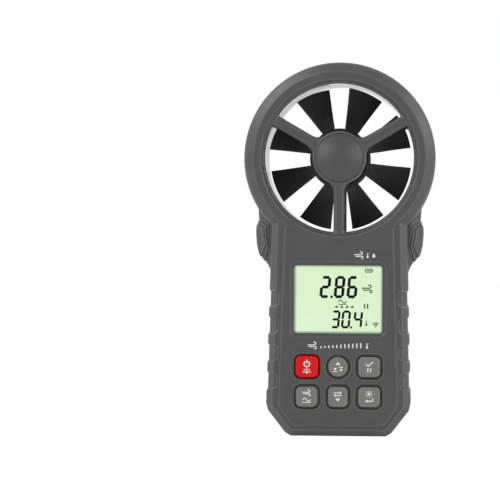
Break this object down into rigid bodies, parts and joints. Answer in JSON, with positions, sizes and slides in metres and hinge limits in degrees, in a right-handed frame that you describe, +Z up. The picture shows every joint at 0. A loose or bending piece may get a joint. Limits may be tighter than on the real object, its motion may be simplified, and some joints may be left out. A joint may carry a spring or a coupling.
{
  "type": "vane anemometer",
  "caption": "Handheld vane anemometer: a bladed impeller turns in a round duct on top of a meter body with a backlit display, push keys and a battery cover.",
  "frame": {"origin": "middle of the flat base, halfway between the side walls, on the plane where the two case halves meet", "axes": "+Z up along the meter towards the duct, -Y the way the display faces, +X to the right as seen by a person reading the display"},
  "size_m": [0.0846, 0.0379, 0.165],
  "materials": {
    "case_plastic": "fine moulded texture, dark grey",
    "pad_rubber": "matt dark grey",
    "vane_plastic": "smooth black",
    "steel": "zinc plated",
    "brass": "turned",
    "magnet": "sintered",
    "board_laminate": "solder mask",
    "black_plastic": "smooth",
    "red_lead": "wire insulation",
    "mat_rubber": "silicone",
    "contact_carbon": "conductive carbon",
    "key_red": "silicone with a white print",
    "key_grey": "silicone with a white print",
    "window_plastic": "clear acrylic",
    "display_glass": "segment display, pale green when lit",
    "diffuser_plastic": "light guide",
    "foam": "closed-cell foam",
    "battery_label": null,
    "thermistor_glass": "epoxy bead"
  },
  "bodies": {
    "case": {"front_case": "case_plastic", "rear_case": "case_plastic", "left_side_pad": "pad_rubber", "right_side_pad": "pad_rubber", "front_guard": "case_plastic", "rear_guard": "case_plastic", "front_bearing": "brass", "rear_bearing": "brass", "sensor_board": "board_laminate", "hall_sensor": "black_plastic", "temperature_sensor": "thermistor_glass", "sensor_cable": "mat_rubber", "display_window": "window_plastic", "lcd_glass": "display_glass", "lcd_frame": "black_plastic", "backlight_plate": "diffuser_plastic", "zebra_strip": "mat_rubber", "main_board": "board_laminate", "controller_chip": "black_plastic", "radio_module": "steel", "keypad_mat": "mat_rubber", "battery": "battery_label", "battery_snap": "black_plastic", "battery_lead_red": "red_lead", "battery_lead_black": "black_plastic", "battery_foam": "foam", "tripod_nut": "brass", "case_screw_1": "steel", "case_screw_2": "steel", "case_screw_3": "steel", "case_screw_4": "steel", "ring_screw_1": "steel", "ring_screw_2": "steel", "board_screw_1": "steel", "board_screw_2": "steel", "board_screw_3": "steel", "board_screw_4": "steel"},
    "rotor": {"impeller": "vane_plastic", "axle": "steel", "sensor_magnet": "magnet"},
    "battery_door": {"battery_cover": "case_plastic"},
    "button_power": {"key_power": "key_red", "contact_pill_power": "contact_carbon"},
    "button_up": {"key_up": "key_grey", "contact_pill_up": "contact_carbon"},
    "button_set": {"key_set": "key_grey", "contact_pill_set": "contact_carbon"},
    "button_average": {"key_average": "key_grey", "contact_pill_average": "contact_carbon"},
    "button_unit": {"key_unit": "key_grey", "contact_pill_unit": "contact_carbon"},
    "button_light": {"key_light": "key_grey", "contact_pill_light": "contact_carbon"}
  },
  "joints": [
    {"name": "impeller_spin", "type": "hinge", "parent": "case", "child": "rotor", "pos_m": [0, 0, 0.1227], "axis": [0, 1, 0], "continuous": true},
    {"name": "battery_cover_swing", "type": "hinge", "parent": "case", "child": "battery_door", "pos_m": [0, 0.019, 0.0046], "axis": [-1, 0, 0], "range_deg": [0, 75]},
    {"name": "key_power_press", "type": "slide", "parent": "case", "child": "button_power", "axis": [0, 1, 0], "range_m": [0, 0.001], "stiffness_N_per_m": 300},
    {"name": "key_up_press", "type": "slide", "parent": "case", "child": "button_up", "axis": [0, 1, 0], "range_m": [0, 0.001], "stiffness_N_per_m": 300},
    {"name": "key_set_press", "type": "slide", "parent": "case", "child": "button_set", "axis": [0, 1, 0], "range_m": [0, 0.001], "stiffness_N_per_m": 300},
    {"name": "key_average_press", "type": "slide", "parent": "case", "child": "button_average", "axis": [0, 1, 0], "range_m": [0, 0.001], "stiffness_N_per_m": 300},
    {"name": "key_unit_press", "type": "slide", "parent": "case", "child": "button_unit", "axis": [0, 1, 0], "range_m": [0, 0.001], "stiffness_N_per_m": 300},
    {"name": "key_light_press", "type": "slide", "parent": "case", "child": "button_light", "axis": [0, 1, 0], "range_m": [0, 0.001], "stiffness_N_per_m": 300}
  ]
}
